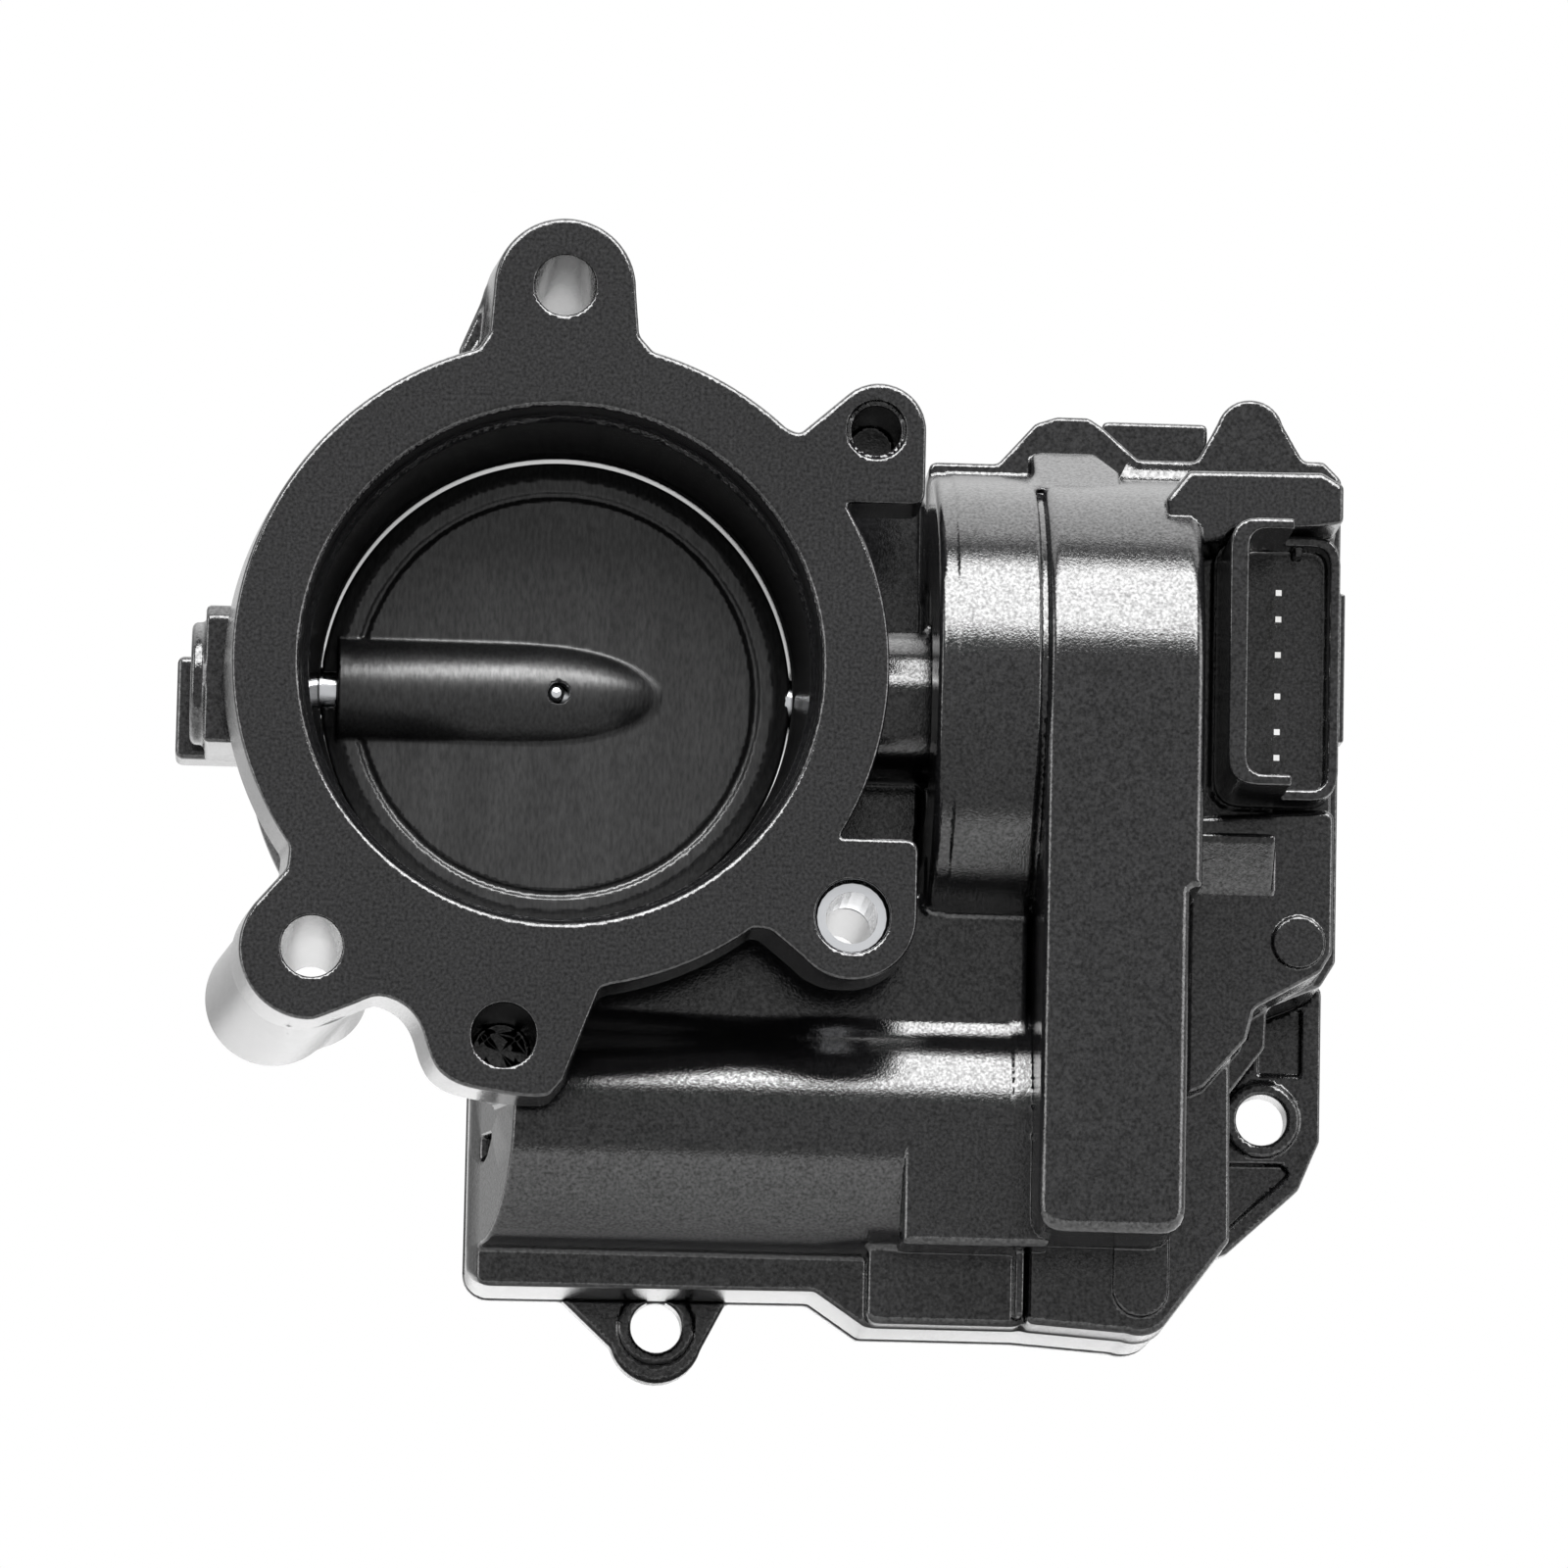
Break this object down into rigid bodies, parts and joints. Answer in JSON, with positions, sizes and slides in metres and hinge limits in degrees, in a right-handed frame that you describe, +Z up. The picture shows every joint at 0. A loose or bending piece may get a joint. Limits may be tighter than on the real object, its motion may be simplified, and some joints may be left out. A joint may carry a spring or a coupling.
{
  "type": "throttle body",
  "caption": "Electronic throttle body for an engine: a moulded black housing with a round air bore, a butterfly plate on a shaft, and a motor with a gear train and sensor behind a rear cover.",
  "frame": {"origin": "the centre of the air bore, in the plane of the manifold flange face", "axes": "+Y runs along the air bore away from the manifold, +Z is up, and +X points from the bore to the gear case and the connector"},
  "size_m": [0.1407, 0.062, 0.1344],
  "materials": {
    "black_plastic": "glass-filled moulded plastic, satin to gloss, fine flow grain",
    "dark_plastic": "moulded plastic, satin",
    "gear_plastic": "unfilled natural moulded plastic, satin",
    "steel": "ground",
    "zinc": "zinc plated",
    "spring_steel": "dark drawn wire and sheet",
    "brass": "bright",
    "rubber": "matt moulded rubber",
    "magnet": "sintered, coated",
    "board": "solder mask over glass fibre"
  },
  "bodies": {
    "housing": {"throttle_housing": "black_plastic", "rear_cover": "black_plastic", "connector_shell": "black_plastic", "cover_gasket": "rubber", "left_shaft_seal": "rubber", "right_shaft_seal": "rubber", "bearing_plug": "dark_plastic", "spring_guide": "dark_plastic", "motor_end_bell": "dark_plastic", "sensor_chip": "dark_plastic", "flange_sleeve": "steel", "left_bearing": "steel", "right_bearing": "steel", "idler_axle": "steel", "motor_can": "zinc", "motor_bracket": "zinc", "motor_screw_1": "zinc", "motor_screw_2": "zinc", "return_spring": "spring_steel", "motor_wave_washer": "spring_steel", "motor_terminal_1": "brass", "motor_terminal_2": "brass", "sensor_board": "board", "cover_screw_1": "zinc", "cover_screw_2": "zinc", "cover_screw_3": "zinc", "cover_screw_4": "zinc", "cover_screw_5": "zinc", "cover_screw_6": "zinc", "connector_pin_1": "brass", "connector_pin_2": "brass", "connector_pin_3": "brass", "connector_pin_4": "brass", "connector_pin_5": "brass", "connector_pin_6": "brass"},
    "throttle": {"throttle_plate": "dark_plastic", "plate_pin": "steel", "throttle_shaft": "steel", "sector_gear": "gear_plastic", "sensor_magnet": "magnet"},
    "idler": {"idler_gear": "gear_plastic"},
    "rotor": {"motor_shaft": "steel", "motor_pinion": "brass", "motor_armature": "spring_steel"}
  },
  "joints": [
    {"name": "rotor_turn", "type": "hinge", "parent": "housing", "child": "rotor", "pos_m": [0, 0.029, -0.0515], "axis": [1, 0, 0], "range_deg": [0, 1166]},
    {"name": "idler_turn", "type": "hinge", "parent": "housing", "child": "idler", "pos_m": [0, 0.0306, -0.02755], "axis": [1, 0, 0], "range_deg": [-292, 0]},
    {"name": "throttle_turn", "type": "hinge", "parent": "housing", "child": "throttle", "pos_m": [0, 0.029, 0], "axis": [1, 0, 0], "range_deg": [0, 81], "stiffness_Nm_per_rad": 0.05, "springref_deg": -85.94}
  ],
  "couplings": [
    {"joint": "idler_turn", "follows": "rotor_turn", "ratio": -0.25},
    {"joint": "throttle_turn", "follows": "rotor_turn", "ratio": 0.069444}
  ]
}
